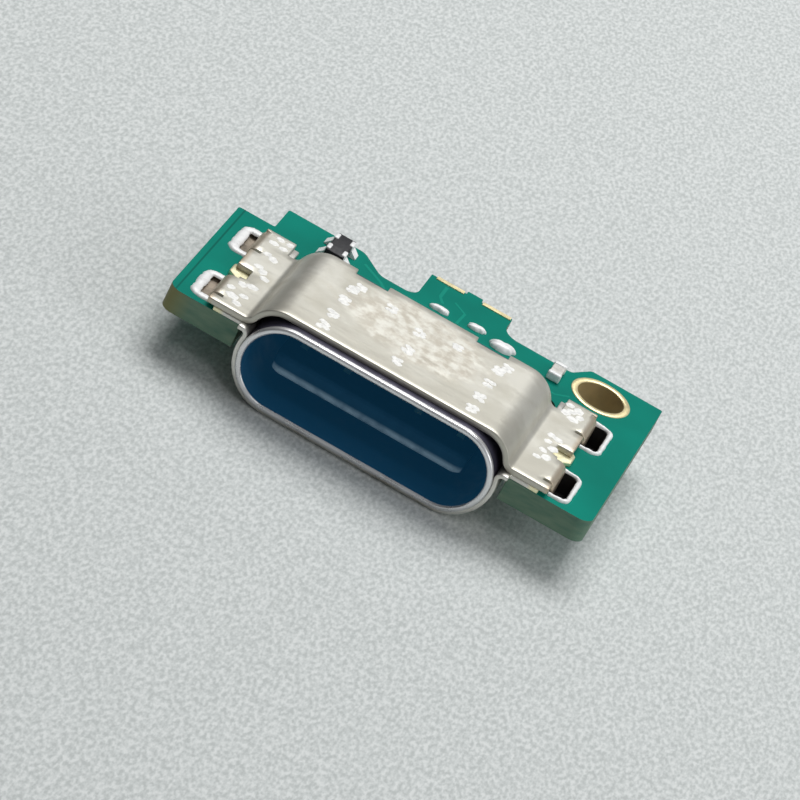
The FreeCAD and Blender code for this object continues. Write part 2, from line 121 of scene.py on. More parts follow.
def soften(piece, width, segments=2, angle=40, flat=False):
    bevel = piece.modifiers.new("edge", "BEVEL")
    bevel.width = width * MM
    bevel.segments = segments
    bevel.limit_method = "ANGLE"
    bevel.angle_limit = math.radians(angle)
    if flat:
        return
    shade_smooth(piece)
    normals = piece.modifiers.new("shine", "WEIGHTED_NORMAL")
    normals.weight = 80


def settle(piece, slot, *replaced):
    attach(piece, "root")
    if replaced:
        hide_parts(*replaced)
    print(piece.name, "faces:", len(piece.data.polygons))


# %% [markdown]
# ## Finishes
# A finish is a small node tree: texture coordinates from the object itself, one or two noises for colour and
# roughness, and a bump so that light breaks up at a true scale. Noise scales are per metre, so on an object
# this small they are in the thousands. One function makes the common tree and each finish only says how it
# differs.

# %% The common finish tree
def new_finish(name, colour, metallic, roughness, specular=0.5):
    material = bpy.data.materials.new(name)
    material.use_nodes = True
    tree = material.node_tree
    shader = tree.nodes["Principled BSDF"]
    shader.inputs["Base Color"].default_value = (*colour, 1)
    shader.inputs["Metallic"].default_value = metallic
    shader.inputs["Roughness"].default_value = roughness
    shader.inputs["Specular IOR Level"].default_value = specular
    shader.inputs["IOR"].default_value = 1.45
    return material, tree, shader


def add_noise(tree, scale, detail=4.0, stretch=(1, 1, 1)):
    place = tree.nodes.new("ShaderNodeTexCoord")
    mapping = tree.nodes.new("ShaderNodeMapping")
    mapping.inputs["Scale"].default_value = stretch
    noise = tree.nodes.new("ShaderNodeTexNoise")
    noise.inputs["Scale"].default_value = scale
    noise.inputs["Detail"].default_value = detail
    tree.links.new(place.outputs["Object"], mapping.inputs["Vector"])
    tree.links.new(mapping.outputs["Vector"], noise.inputs["Vector"])
    return noise.outputs["Fac"]


def add_ramp(tree, factor, stops):
    ramp = tree.nodes.new("ShaderNodeValToRGB")
    while len(ramp.color_ramp.elements) < len(stops):
        ramp.color_ramp.elements.new(0.5)
    for element, (place, colour) in zip(ramp.color_ramp.elements, stops):
        element.position = place
        element.color = (*colour, 1)
    tree.links.new(factor, ramp.inputs["Fac"])
    return ramp.outputs["Color"]


def add_range(tree, factor, low, high, to_low, to_high):
    scale = tree.nodes.new("ShaderNodeMapRange")
    for socket, value in zip(("From Min", "From Max", "To Min", "To Max"), (low, high, to_low, to_high)):
        scale.inputs[socket].default_value = value
    tree.links.new(factor, scale.inputs["Value"])
    return scale.outputs["Result"]


def add_bump(tree, shader, height, strength, distance, under=None):
    bump = tree.nodes.new("ShaderNodeBump")
    bump.inputs["Strength"].default_value = strength
    bump.inputs["Distance"].default_value = distance * MM
    tree.links.new(height, bump.inputs["Height"])
    if under:
        tree.links.new(under, bump.inputs["Normal"])
    tree.links.new(bump.outputs["Normal"], shader.inputs["Normal"])
    return bump.outputs["Normal"]


def add_mix(tree, factor, first, second):
    mix = tree.nodes.new("ShaderNodeMix")
    mix.data_type = "RGBA"
    for socket, value in ((mix.inputs[0], factor), (mix.inputs[6], first), (mix.inputs[7], second)):
        if isinstance(value, tuple):
            socket.default_value = (*value, 1)
        elif isinstance(value, float):
            socket.default_value = value
        else:
            tree.links.new(value, socket)
    return mix.outputs[2]


def add_math(tree, operation, *values):
    node = tree.nodes.new("ShaderNodeMath")
    node.operation = operation
    for socket, value in zip(node.inputs, values):
        if isinstance(value, float):
            socket.default_value = value
        else:
            tree.links.new(value, socket)
    return node.outputs["Value"]


# %% [markdown]
# The two sheets are tinned steel: satin, a little warm, with faint drawing scratches along X and cloudy
# patches where flux and fingers left their mark. The scratches are a stretched noise, which costs nothing
# and stays true in close views. The cover is also darker towards its front, scuffed in the middle of its top
# and painted brown with shade where its legs bend, and the lower sheet's flanges end in a yellow tint.

# %% Tinned sheet
scuff_tones = [(0.38, (0.55, 0.51, 0.43)), (0.50, (0.66, 0.63, 0.55)), (0.63, (0.78, 0.765, 0.69))]


def masked_spot(tree, centre, reach, soft):
    """1 inside an ellipse round centre, 0 outside, with a broken edge."""
    raggedness = 1.3
    edge = 1 + raggedness / 2
    place = tree.nodes.new("ShaderNodeTexCoord")
    move = tree.nodes.new("ShaderNodeMapping")
    move.vector_type = "TEXTURE"
    move.inputs["Location"].default_value = tuple(v * MM for v in centre)
    move.inputs["Scale"].default_value = tuple(v * MM for v in reach)
    tree.links.new(place.outputs["Object"], move.inputs["Vector"])
    away = tree.nodes.new("ShaderNodeVectorMath")
    away.operation = "LENGTH"
    tree.links.new(move.outputs["Vector"], away.inputs[0])
    total = add_math(tree, "MULTIPLY_ADD", add_noise(tree, 1500), raggedness, away.outputs["Value"])
    return add_range(tree, total, edge - soft, edge + soft, 1.0, 0.0)


def axis_band(tree, axis, low, high, magnitude=False):
    """Rises from 0 to 1 as the object coordinate goes from low to high, in millimetres."""
    place = tree.nodes.new("ShaderNodeTexCoord")
    split = tree.nodes.new("ShaderNodeSeparateXYZ")
    tree.links.new(place.outputs["Object"], split.inputs["Vector"])
    value = split.outputs[axis]
    if magnitude:
        value = add_math(tree, "ABSOLUTE", value)
    return add_range(tree, value, low * MM, high * MM, 0.0, 1.0)


def sheet_finish(name, colour, stain, roughness, grit, edge_tint_and_shade, patch=None):
    """worn is (from, to, tint) outward along X; patch is the scuffs' centre, reach and softness."""
    material, tree, shader = new_finish(name, colour, 0.72, roughness)
    scratches = add_noise(tree, 9500, 3, (0.10, 1, 1))
    shade = add_ramp(tree, add_noise(tree, 900, 6), [(0.36, stain), (0.58, colour)])
    if patch:
        # the cover's top is painted darker towards its front
        darker_front = add_math(tree, "MULTIPLY", axis_band(tree, "Y", 2.7, 0.9), 0.8)
        shade = add_mix(tree, darker_front, shade, tuple(0.94 * c for c in stain))
        scuffs = add_ramp(tree, add_noise(tree, 3300, 6), scuff_tones)
        shade = add_mix(tree, masked_spot(tree, *patch), shade, scuffs)
    low, high, tint = edge_tint_and_shade
    shade = add_mix(tree, axis_band(tree, "X", low, high, True), shade, tint)
    tree.links.new(shade, shader.inputs["Base Color"])
    spread = add_range(tree, scratches, 0.3, 0.7, roughness - 0.02, roughness + 0.06)
    tree.links.new(spread, shader.inputs["Roughness"])
    grain = add_bump(tree, shader, add_noise(tree, 15000, 2), 0.35, grit)
    add_bump(tree, shader, scratches, 0.12, grit / 3, grain)
    return material


# The cover's outer band is painted shade, brown where the legs bend; the cradle's is a yellow tint.
cover_finish = sheet_finish("cover_tin", (0.67, 0.655, 0.585), (0.55, 0.53, 0.455), 0.37, 0.004,
                            (5.76, 5.92, (0.58, 0.49, 0.37)), ((0.05, 3.45, 1.7), (2.4, 1.7, 4.0), 0.22))
cradle_finish = sheet_finish("cradle_tin", (0.76, 0.75, 0.70), (0.62, 0.60, 0.54), 0.34, 0.003,
                             (5.30, 5.45, (0.92, 0.87, 0.58)))
print("sheet finishes ready")

# %% [markdown]
# The board is a glass laminate under a green mask. The mask is satin and nearly even, with a slow change of
# tone, faint tracks that stand up a little under it and a dark line beside the left edge. The sawn edge is
# not green but a dull olive, yellower at the left end, with a fibrous grain that runs along the board.

# %% Board finishes
def mask_finish(name, light, dark, bare_line=None):
    material, tree, shader = new_finish(name, light, 0.0, 0.48, specular=0.05)
    shade = add_ramp(tree, add_noise(tree, 240, 3), [(0.35, dark), (0.65, light)])
    if bare_line:
        middle, half, blur = bare_line
        inner = axis_band(tree, "X", middle - half, middle - half + blur)
        outer = axis_band(tree, "X", middle + half + blur, middle + half)
        line = add_math(tree, "MULTIPLY", inner, outer)
        shade = add_mix(tree, line, shade, tuple(0.7 * c for c in dark))
    tree.links.new(shade, shader.inputs["Base Color"])
    add_bump(tree, shader, add_noise(tree, 5200, 2), 0.25, 0.003)
    return material


def laminate_finish():
    material, tree, shader = new_finish("laminate_edge", (0.12, 0.19, 0.13), 0.0, 0.62)
    fibres = add_noise(tree, 2600, 4, (0.5, 0.5, 2.0))
    olive = add_ramp(tree, fibres, [(0.3, (0.075, 0.165, 0.115)), (0.7, (0.15, 0.235, 0.16))])
    yellowed = add_mix(tree, axis_band(tree, "X", -6.3, -7.0), olive, (0.20, 0.20, 0.075))
    tree.links.new(yellowed, shader.inputs["Base Color"])
    add_bump(tree, shader, fibres, 0.4, 0.015)
    return material


board_green = mask_finish("green_mask", (0.001, 0.242, 0.180), (0.001, 0.185, 0.138), (-6.98, 0.03, 0.02))
track_green = mask_finish("track_green", (0.010, 0.305, 0.225), (0.006, 0.255, 0.185))
board_edge = laminate_finish()
print("board finishes ready")

# %% [markdown]
# The small finishes share one recipe: a noise that darkens the colour at random, most in the bump's
# hollows as painted shade, changes the gloss and lifts a bump.
# It serves the gold plating, bright solder as it froze, the brown slot fill, the painted black slot shade,
# the tube's steel, weld metal, the contacts, chip plastic and pale ceramic. The moulding has its own tree,
# because a highlight is painted along the tongue's lower front edge: that thin pale stripe is what the eye
# finds first inside the dark opening.
# Light bounces about in the blue-painted hollow more often than a short render follows it. A faint blue glow
# on the moulding, the tube's painted blue inside and the contacts stands in for that light.

# %% Small finishes
def lumpy_finish(name, colour, metallic, roughness, scale, depth, dark):
    """scale is the noise per metre, depth the bump in millimetres, dark the colour's share in the bump's
    hollows, a painted shade.
    """
    material, tree, shader = new_finish(name, colour, metallic, roughness)
    noise = add_noise(tree, scale)
    tone = add_ramp(tree, noise, [(0.34, tuple(dark * c for c in colour)), (0.6, colour)])
    tree.links.new(tone, shader.inputs["Base Color"])
    spread = add_range(tree, noise, 0.3, 0.7, roughness * 0.8, roughness * 1.3)
    tree.links.new(spread, shader.inputs["Roughness"])
    add_bump(tree, shader, noise, 0.5, depth)
    return material


gold = lumpy_finish("gold_plate", (0.95, 0.82, 0.47), 0.55, 0.34, 2400, 0.008, 0.85)
barrel_gold = lumpy_finish("barrel_gold", (0.42, 0.31, 0.14), 0.1, 0.6, 2600, 0.02, 0.85)
solder = lumpy_finish("bright_solder", (0.95, 0.955, 0.95), 0.04, 0.32, 3200, 0.03, 0.90)
# painted shade: near-black for the right slots' walls; the next finish is the left slots' brown
slot_shade = lumpy_finish("painted_slot_shade", (0.016, 0.015, 0.015), 0.0, 0.55, 2400, 0.03, 0.5)
slot_brown = lumpy_finish("slot_brown", (0.36, 0.30, 0.23), 0.3, 0.4, 2800, 0.04, 0.45)
tube_finish = lumpy_finish("tube_steel", (0.82, 0.82, 0.83), 0.75, 0.27, 800, 0.0006, 0.86)
# painted shade: the tube's outer steel is given a dark colour for the gap under the cover
tube_outside_shade = lumpy_finish("tube_outside_shade", (0.085, 0.080, 0.120), 0.4, 0.35, 2400, 0.004, 0.8)
weld = lumpy_finish("weld_metal", (0.97, 0.965, 0.93), 0.05, 0.45, 7000, 0.02, 0.82)
contact_gold = lumpy_finish("contact_gold", (0.50, 0.40, 0.22), 0.9, 0.38, 2400, 0.006, 0.85)
# painted reflection: the tube's inner steel is given the dark blue of the moulding it mirrors
tube_inside_reflection = lumpy_finish("painted_blue_reflection", (0.008, 0.058, 0.125), 0.0, 0.42, 1800, 0.006, 0.88)
chip_plastic = lumpy_finish("chip_plastic", (0.010, 0.010, 0.013), 0.0, 0.5, 6000, 0.01, 0.8)
ceramic = lumpy_finish("capacitor_ceramic", (0.72, 0.70, 0.65), 0.0, 0.45, 4000, 0.01, 0.75)


def moulding_finish():
    deep_blue = (0.004, 0.026, 0.056)
    material, tree, shader = new_finish("blue_moulding", deep_blue, 0.0, 0.75, specular=0.10)
    grain = add_noise(tree, 2600)
    tone = add_ramp(tree, grain, [(0.34, (0.003, 0.020, 0.045)), (0.6, deep_blue)])
    broken = add_range(tree, add_noise(tree, 2300, 5), 0.30, 0.55, 0.45, 1.0)
    low_band, front_band = axis_band(tree, "Z", -0.03, -0.16), axis_band(tree, "Y", 0.70, 0.60)
    painted_edge_highlight = add_math(tree, "MULTIPLY", add_math(tree, "MULTIPLY", low_band, front_band), broken)
    # painted highlight: a pale stripe along the tongue's lower front edge
    tree.links.new(add_mix(tree, painted_edge_highlight, tone, (0.23, 0.32, 0.38)), shader.inputs["Base Color"])
    add_bump(tree, shader, grain, 0.5, 0.006)
    return material


moulding = moulding_finish()
hollow_glow = (0.0020, 0.0165, 0.0340, 1)
for hollow_finish in (moulding, tube_inside_reflection, contact_gold):
    hollow_shader = hollow_finish.node_tree.nodes["Principled BSDF"]
    hollow_shader.inputs["Emission Color"].default_value = hollow_glow
    hollow_shader.inputs["Emission Strength"].default_value = 1.0
print("small finishes ready")

# %% [markdown]
# ## Bent sheets
# A stamped part is a flat outline folded along straight lines. So the mesh is made the same way: a folded
# section is drawn along Y as a grid, and its cells are left out where the punch took metal away. Cells that
# meet then share their points, and Solidify gives the sheet its thickness. This keeps the folds perfectly
# round and the cut edges square, which boolean cuts on a bent solid rarely do.

# %% Folded sections and their cells
def arc_points(centre, radius, start, end, count):
    steps = [start + (end - start) * i / count for i in range(count + 1)]
    return [(centre[0] + radius * math.cos(t), centre[1] + radius * math.sin(t)) for t in steps]


def divided(values, longest):
    out = [values[0]]
    for a, b in zip(values, values[1:]):
        count = max(1, math.ceil((b - a) / longest))
        out += [a + (b - a) * (i + 1) / count for i in range(count)]
    return out


def folded_cells(path, ys, is_metal):
    """path is a list of (x, z) on the right; the left side is its mirror."""
    cells = []
    for side in (1, -1):
        for (xa, za), (xb, zb) in zip(path, path[1:]):
            near, far = side * xa, side * xb
            for ya, yb in zip(ys, ys[1:]):
                if is_metal((xa + xb) / 2, (ya + yb) / 2):
                    cell = [(near, ya, za), (far, ya, zb), (far, yb, zb), (near, yb, za)]
                    cells.append(cell[::side])
    return cells


def shared_points(cells):
    points, faces, index = [], [], {}
    for cell in cells:
        face = []
        for corner in cell:
            key = tuple(round(v, 4) for v in corner)
            if key not in index:
                index[key] = len(points)
                points.append(corner)
            face.append(index[key])
        faces.append(face)
    return points, faces


def sheet_piece(name, cells, thickness, material, bevel, up):
    piece = mesh_piece(name, *shared_points(cells), [material])
    face_outward(piece, up=up)
    body = piece.modifiers.new("thickness", "SOLIDIFY")
    body.thickness = thickness * MM
    body.offset = -1
    body.use_even_offset = True
    soften(piece, bevel)
    return piece


# %% [markdown]
# The top cover is the piece that shows most. Its sizes come first, in millimetres: those of its box from the
# solids, the others as the sheet is drawn. The board's faces come with them, because the legs pass through it.
# The cover's top lies a hair under the solids' top, which leaves weld_room for the rims of the weld spots.

# %% Sizes of the top cover
cover_low, cover_high = box_mm("top_cover")
cradle_low, cradle_high = box_mm("lower_cradle")
board_top = 0.515
board_thickness = 0.80
board_bottom = board_top - board_thickness
cover_sheet = 0.20
cover_front = cover_low.y
flange_rear = cover_high.y
weld_room = 0.014
cover_top = cover_high.z - weld_room
cover_rear = 5.37
cover_flat_half = 3.50
shoulder_radius = 1.05
hollow_radius = 0.25
flange_half = 5.95
leg_half = cover_high.x
leg_bend = 0.10
leg_root = leg_half - cover_sheet - leg_bend
leg_starts = (1.00, 4.70)
leg_length = 1.45
relief = 0.15
window = 0.70
notch_root = 5.62
window_root = 5.42
recess_from, recess_to, recess_depth = 1.58, 2.72, 0.34
flange_top = cradle_high.z + cover_sheet
print("cover top and flange top:", round(cover_top, 3), round(flange_top, 3))

# %% [markdown]
# The section goes flat, round shoulder, hollow bend, flange. Shoulder and bend touch without a kink, so the
# line between their centres is as long as both radii together, and its tilt is where one arc hands over to
# the other. The legs and the small lobes between them have sections of their own.

# %% Sections of the top cover
shoulder_z = cover_top - shoulder_radius
hollow_z = flange_top + hollow_radius
hollow_reach = math.sqrt((shoulder_radius + hollow_radius) ** 2 - (hollow_z - shoulder_z) ** 2)
hollow_x = cover_flat_half + hollow_reach
cover_tilt = math.atan2(hollow_z - shoulder_z, hollow_reach)
flange_start = hollow_x + 0.2
cover_path = [(x, cover_top) for x in divided([0, recess_from, recess_to, cover_flat_half], 0.6)]
cover_path += arc_points((cover_flat_half, shoulder_z), shoulder_radius, math.pi / 2, cover_tilt, 16)[1:]
cover_path += arc_points((hollow_x, hollow_z), hollow_radius, math.pi + cover_tilt, 1.5 * math.pi, 8)[1:]
cover_path += [(x, flange_top) for x in (flange_start, window_root, notch_root, leg_root)]
leg_bend_z = flange_top - cover_sheet - leg_bend
leg_path = arc_points((leg_root, leg_bend_z), leg_bend + cover_sheet, math.pi / 2, 0, 8)
leg_path += [(leg_half, z) for z in (board_top, cover_low.z + 0.3, cover_low.z)]
lobe_path = [(leg_root, flange_top), (flange_half, flange_top)]
print("the shoulder meets the hollow bend at degrees:", round(math.degrees(cover_tilt), 1))

# %% [markdown]
# The four legs turn down from the flange through the board, each freed by a narrow relief notch on either
# side. A wider window lets the lower sheet's barb show, and two shallow recesses notch the rear edge.

# %% Top cover
def leg_windows():
    ends = []
    for start in leg_starts:
        ends.append((start - relief, start))
        ends.append((start + leg_length, start + leg_length + relief))
    ends.append((leg_starts[0] + leg_length + relief, leg_starts[0] + leg_length + relief + window))
    return ends


def on_leg(y):
    return any(start < y < start + leg_length for start in leg_starts)


def cover_metal(x, y):
    if y > cover_rear:
        return x > flange_start
    if recess_from < x < recess_to and y > cover_rear - recess_depth:
        return False
    if x > notch_root and any(a < y < b for a, b in leg_windows()):
        return False
    first, last = leg_windows()[-1]
    return not (x > window_root and first < y < last)


cuts = {cover_front, cover_rear - recess_depth, cover_rear, flange_rear}
for first, last in leg_windows():
    cuts |= {first, last}
cover_ys = divided(sorted(cuts), 0.4)
cover_cells = folded_cells(cover_path, cover_ys, cover_metal)
cover_cells += folded_cells(leg_path, cover_ys, lambda x, y: on_leg(y))
cover_cells += folded_cells(lobe_path, cover_ys, lambda x, y: cover_metal(x, y) and not on_leg(y))
cover = sheet_piece("cover_arch", cover_cells, cover_sheet, cover_finish, 0.035, up=1)
settle(cover, "tinned_steel", "top_cover")

# %% [markdown]
# The lower cradle hugs the tube from below and turns out over the board, under the cover's flanges. It is
# thinner, its front edge stands a little further forward, and a barb pokes out through the cover's window.

# %% Lower cradle
mouth_width = 8.34
mouth_radius = 1.28
tube_wall = 0.20
cradle_sheet = 0.15
end_centre = mouth_width / 2 - mouth_radius
tube_radius = mouth_radius + tube_wall
cradle_radius = tube_radius + cradle_sheet
cradle_bend = 0.10
cradle_rear = 5.00
cradle_flange_half = 5.68
barb_front, barb_length, barb_reach = 2.70, 1.25, 0.38

cradle_bend_z = board_top - cradle_bend
cradle_reach = math.sqrt((cradle_radius + cradle_bend) ** 2 - cradle_bend_z ** 2)
cradle_bend_x = end_centre + cradle_reach
cradle_tilt = math.atan2(cradle_bend_z, cradle_reach)
cradle_path = [(x, -cradle_radius) for x in divided([0, end_centre], 0.6)]
cradle_path += arc_points((end_centre, 0), cradle_radius, -math.pi / 2, cradle_tilt, 22)[1:]
cradle_path += arc_points((cradle_bend_x, cradle_bend_z), cradle_bend,
                          math.pi + cradle_tilt, math.pi / 2, 8)[1:]
cradle_path += [(cradle_bend_x + cradle_sheet, board_top), (cradle_flange_half, board_top)]


def cradle_metal(x, y):
    if x > cradle_bend_x + cradle_sheet:
        return y > cover_front
    return y < cradle_rear


barb_ys = [barb_front + barb_length * share for share in (0, 0.25, 0.65, 1)]
cradle_ys = divided(sorted({cradle_low.y, cover_front, cradle_rear, flange_rear, *barb_ys}), 0.5)
barb_points = [(cradle_flange_half, y, board_top) for y in barb_ys]
barb_points += [(cradle_flange_half + barb_reach, y, board_top) for y in (barb_ys[2], barb_ys[1])]
barb_cells = [[barb_points[i] for i in face] for face in ((0, 1, 5), (1, 2, 4, 5), (2, 3, 4))]
left_barb = [[(-x, y, z) for x, y, z in cell[::-1]] for cell in barb_cells]
cradle_cells = folded_cells(cradle_path, cradle_ys, cradle_metal) + barb_cells + left_barb
cradle = sheet_piece("under_cradle", cradle_cells, cradle_sheet, cradle_finish, 0.03, up=-1)
settle(cradle, "tinned_steel", "lower_cradle")

# %% [markdown]
# ## The drawn tube
# A deep drawn tube has no corners: its lip rolls over from inside to outside. Here a closed profile of
# (distance from the centre line, depth) runs once round the wall, and it is swept round the opening. The
# inside steel wall gets a dark blue finish by face right up to the lip, a painted reflection of the blue
# moulding, and the outside behind the bright lip gets a dark finish, painted shade for the gap under the
# cover's shoulders.

# %% Tube swept round the opening
def stadium_ring(radius, count=28):
    ring = [(end_centre + radius * math.cos(t), radius * math.sin(t))
            for t in (math.pi / 2 - math.pi * i / count for i in range(count + 1))]
    return ring + [(-x, -z) for x, z in ring]


def ring_quads(row, following, count):
    """The faces between two rings of count points each, by the rings' numbers."""
    return [[row * count + i, row * count + (i + 1) % count,
             following * count + (i + 1) % count, following * count + i] for i in range(count)]


tube_rear = box_mm("inner_shell")[1].y
lip = 0.085
quarter = [math.pi / 2 * i / 5 for i in range(6)]
tube_profile = [(mouth_radius, depth) for depth in (tube_rear, 2.0, 0.6, 0.2)]
tube_profile += [(mouth_radius + lip - lip * math.cos(t), lip - lip * math.sin(t)) for t in quarter]
tube_profile += [(tube_radius - lip + lip * math.sin(t), lip - lip * math.cos(t)) for t in quarter]
tube_profile += [(tube_radius, depth) for depth in (0.18, 2.0, tube_rear)]
tube_points, tube_faces, tube_picks = [], [], []
rows = len(tube_profile)
# the first rows take the painted blue reflection, the last ones the painted shade of the outside
reflection_rows, shade_rows = 5, 3
for row, (radius, depth) in enumerate(tube_profile):
    wall_ring = stadium_ring(radius)
    tube_points += [(x, depth, z) for x, z in wall_ring]
    tube_faces += ring_quads(row, (row + 1) % rows, len(wall_ring))
    pick = 1 if row < reflection_rows else 0 if row < rows - shade_rows else 2
    tube_picks += [pick] * len(wall_ring)
tube = mesh_piece("drawn_tube", tube_points, tube_faces, [tube_finish, tube_inside_reflection, tube_outside_shade], tube_picks)
shade_smooth(tube, 50)
settle(tube, "shell_steel", "inner_shell")

# %% [markdown]
# ## The board
# A flat curve with holes in it fills by itself, so the board's outline, leg slots and screw hole are drawn
# as closed curves and given thickness. Corner radii come from one helper that rounds a list of corners, each
# by its own radius.

# %% Rounded outlines and filled plates
def rounded(corners, steps=10):
    out = []
    for i, (x, y, radius) in enumerate(corners):
        here = Vector((x, y))
        before = (Vector(corners[i - 1][:2]) - here).normalized()
        after = (Vector(corners[(i + 1) % len(corners)][:2]) - here).normalized()
        if radius <= 0:
            out.append((x, y))
            continue
        half = before.angle(after) / 2
        inward = (before + after).normalized()
        centre = here + inward * (radius / math.sin(half))
        start = here + before * (radius / math.tan(half)) - centre
        end = here + after * (radius / math.tan(half)) - centre
        for k in range(steps + 1):
            turn = start.lerp(end, k / steps).normalized() * radius
            out.append(tuple(centre + turn))
    return out


def circle(x, y, radius, count=120):
    return [(x + radius * math.cos(2 * math.pi * i / count), y + radius * math.sin(2 * math.pi * i / count))
            for i in range(count)]


def filled_plate(name, loops, low, high, bevel):
    curve = bpy.data.curves.new(name, "CURVE")
    curve.dimensions = "2D"
    curve.fill_mode = "BOTH"
    curve.extrude = (high - low) / 2 * MM
    for loop in loops:
        spline = curve.splines.new("POLY")
        spline.points.add(len(loop) - 1)
        for point, (x, y) in zip(spline.points, loop):
            point.co = (x * MM, y * MM, 0, 1)
        spline.use_cyclic_u = True
    holder = bpy.data.objects.new(name + "_curve", curve)
    bpy.context.scene.collection.objects.link(holder)
    bpy.context.view_layer.update()
    mesh = bpy.data.meshes.new_from_object(holder.evaluated_get(bpy.context.evaluated_depsgraph_get()))
    bpy.data.objects.remove(holder)
    mesh.transform(Matrix.Translation((0, 0, (low + high) / 2 * MM)))
    piece = bpy.data.objects.new(name, mesh)
    bpy.context.scene.collection.objects.link(piece)
    face_outward(piece, join=True)
    for polygon in mesh.polygons:
        polygon.use_smooth = False
    soften(piece, bevel, flat=True)
    return piece


def corner_box(low_x, high_x, low_y, high_y, radius):
    return rounded([(low_x, low_y, radius), (high_x, low_y, radius), (high_x, high_y, radius),
                    (low_x, high_y, radius)], 6)


# %% [markdown]
# The board has an open cut-out for the tube, a stepped rear edge and a tab with a small break-off nub. The
# slots leave room round each leg. After the fill, faces that look sideways get the sawn laminate, or brown
# gold inside the screw hole, and the rest the mask.

# %% Board outline
slot_inside, slot_outside, slot_end = 0.07, 0.45, 0.10


def slot_loop(side, start, room):
    near = leg_half - cover_sheet - slot_inside - room
    far = leg_half + slot_outside + room
    low, high = sorted((side * near, side * far))
    return corner_box(low, high, start - slot_end - room, start + leg_length + slot_end + room,
                      (high - low) * 0.3)


hole_low, hole_high = box_mm("screw_hole_plating")
hole_centre = ((hole_low.x + hole_high.x) / 2, (hole_low.y + hole_high.y) / 2)
hole_radius = 0.80
plating = 0.04
round_big, round_small = 0.42, 0.084
cutout_half = cradle_bend_x + 0.10
outline = [(-7.20, 0.45, round_big), (-cutout_half, 0.45, 0.03), (-cutout_half, 6.34, round_big),
           (cutout_half, 6.34, round_big), (cutout_half, 0.45, 0.03), (7.55, 0.45, round_big),
           (7.55, 9.40, round_small), (4.98, 9.40, 0.17), (4.46, 8.62, 0.17), (1.95, 8.62, 0.55),
           (1.95, 9.80, 0.04), (0.82, 9.80, 0.02), (0.82, 10.0, 0.04), (0.27, 10.0, 0.04),
           (0.27, 9.80, 0.02), (-1.00, 9.80, 0.04), (-1.00, 7.93, round_big), (-2.28, 7.93, round_big),
           (-3.12, 8.78, round_big), (-5.90, 8.78, round_small), (-5.90, 7.28, round_small),
           (-7.20, 7.28, round_small)]
loops = [rounded(outline), circle(*hole_centre, hole_radius)]
loops += [slot_loop(side, start, plating) for side in (1, -1) for start in leg_starts]
board = filled_plate("board_laminate", loops, board_bottom, board_top, 0.02)
board.data.materials.clear()
for material in (board_green, board_edge, barrel_gold):
    board.data.materials.append(material)
for polygon in board.data.polygons:
    from_hole = math.dist((polygon.center.x / MM, polygon.center.y / MM), hole_centre)
    upright = abs(polygon.normal.z) < 0.5
    polygon.material_index = (2 if from_hole < hole_radius + 0.05 else 1) if upright else 0
settle(board, "board_green", "circuit_board")

# %% [markdown]
# The plated screw hole has a ring on either side, each a small profile revolved round the hole's axis. The
# barrel between them is the board's own wall with a thin brown gold skin, because little light reaches it.

# %% Screw hole plating
ring_radius = hole_high.x - hole_centre[0]
ring_edge = 0.015


def hole_ring(name, low, high, count=64):
    profile = [(hole_radius, low), (hole_radius, high - ring_edge), (hole_radius + ring_edge, high),
               (ring_radius - ring_edge, high), (ring_radius, high - ring_edge), (ring_radius, low)]
    points, faces = [], []
    for row, (radius, z) in enumerate(profile):
        points += [(x, y, z) for x, y in circle(*hole_centre, radius, count)]
        faces += ring_quads(row, (row + 1) % len(profile), count)
    piece = mesh_piece(name, points, faces, [gold])
    shade_smooth(piece, 55)
    settle(piece, "gold", "screw_hole_plating")


hole_ring("hole_ring_upper", board_top, hole_high.z)
hole_ring("hole_ring_lower", hole_low.z, board_bottom)

# %% [markdown]
# ## Solder
# Solder freezes with a smooth hollow or domed skin, never with flat sides. On the real part each leg stands
# in a plated slot: the slot's wall is painted near-black as shade, and a foot of solder closes it from below.
# On the left the solder has risen nearly to the top, and it and the wall are brown. The wall and the foot are
# one loft: the slot's own outline at several sizes, each a little wider or narrower than the last, joined ring
# by ring.
# foot_profile lists the foot's rings as (room beyond the slot, depth below the board).

# %% Plated slots with their feet
fill_gap = 0.12
foot_profile = [(0.12, 0), (0.105, 0.05), (0.05, 0.11), (-0.04, 0.135), (-0.12, 0.14)]


def leg_joint(name, node, side, start):
    filled = side < 0
    fill = board_top - fill_gap if filled else board_bottom + fill_gap
    levels = [(0.0, fill), (0.0, board_top), (plating, board_top), (plating, board_bottom)]
    levels += [(room, board_bottom - depth) for room, depth in foot_profile]
    points = [(x, y, z) for room, z in levels for x, y in slot_loop(side, start, room)]
    size = len(points) // len(levels)
    faces = [list(range(size)), list(range(len(points) - size, len(points)))[::-1]]
    for row in range(len(levels) - 1):
        faces += ring_quads(row, row + 1, size)
    lined_rows = 3
    picks = [0, 1] + [0] * (lined_rows * size) + [1] * ((len(levels) - 1 - lined_rows) * size)
    piece = mesh_piece(name, points, faces, [slot_brown if filled else slot_shade, solder], picks)
    face_outward(piece)
    shade_smooth(piece, 50)
    settle(piece, "solder", node)


# %% [markdown]
# On top only a thin bright bead runs round each slot, broken off where the flange covers it. It is a half
# round section carried along the open part of the slot's outline, and it swells and thins a little by chance.
# The left beads are broader, as on the real part.

# %% Beads round the slots
bead_height, bead_wobble, bead_step = 0.09, 0.30, 0.07


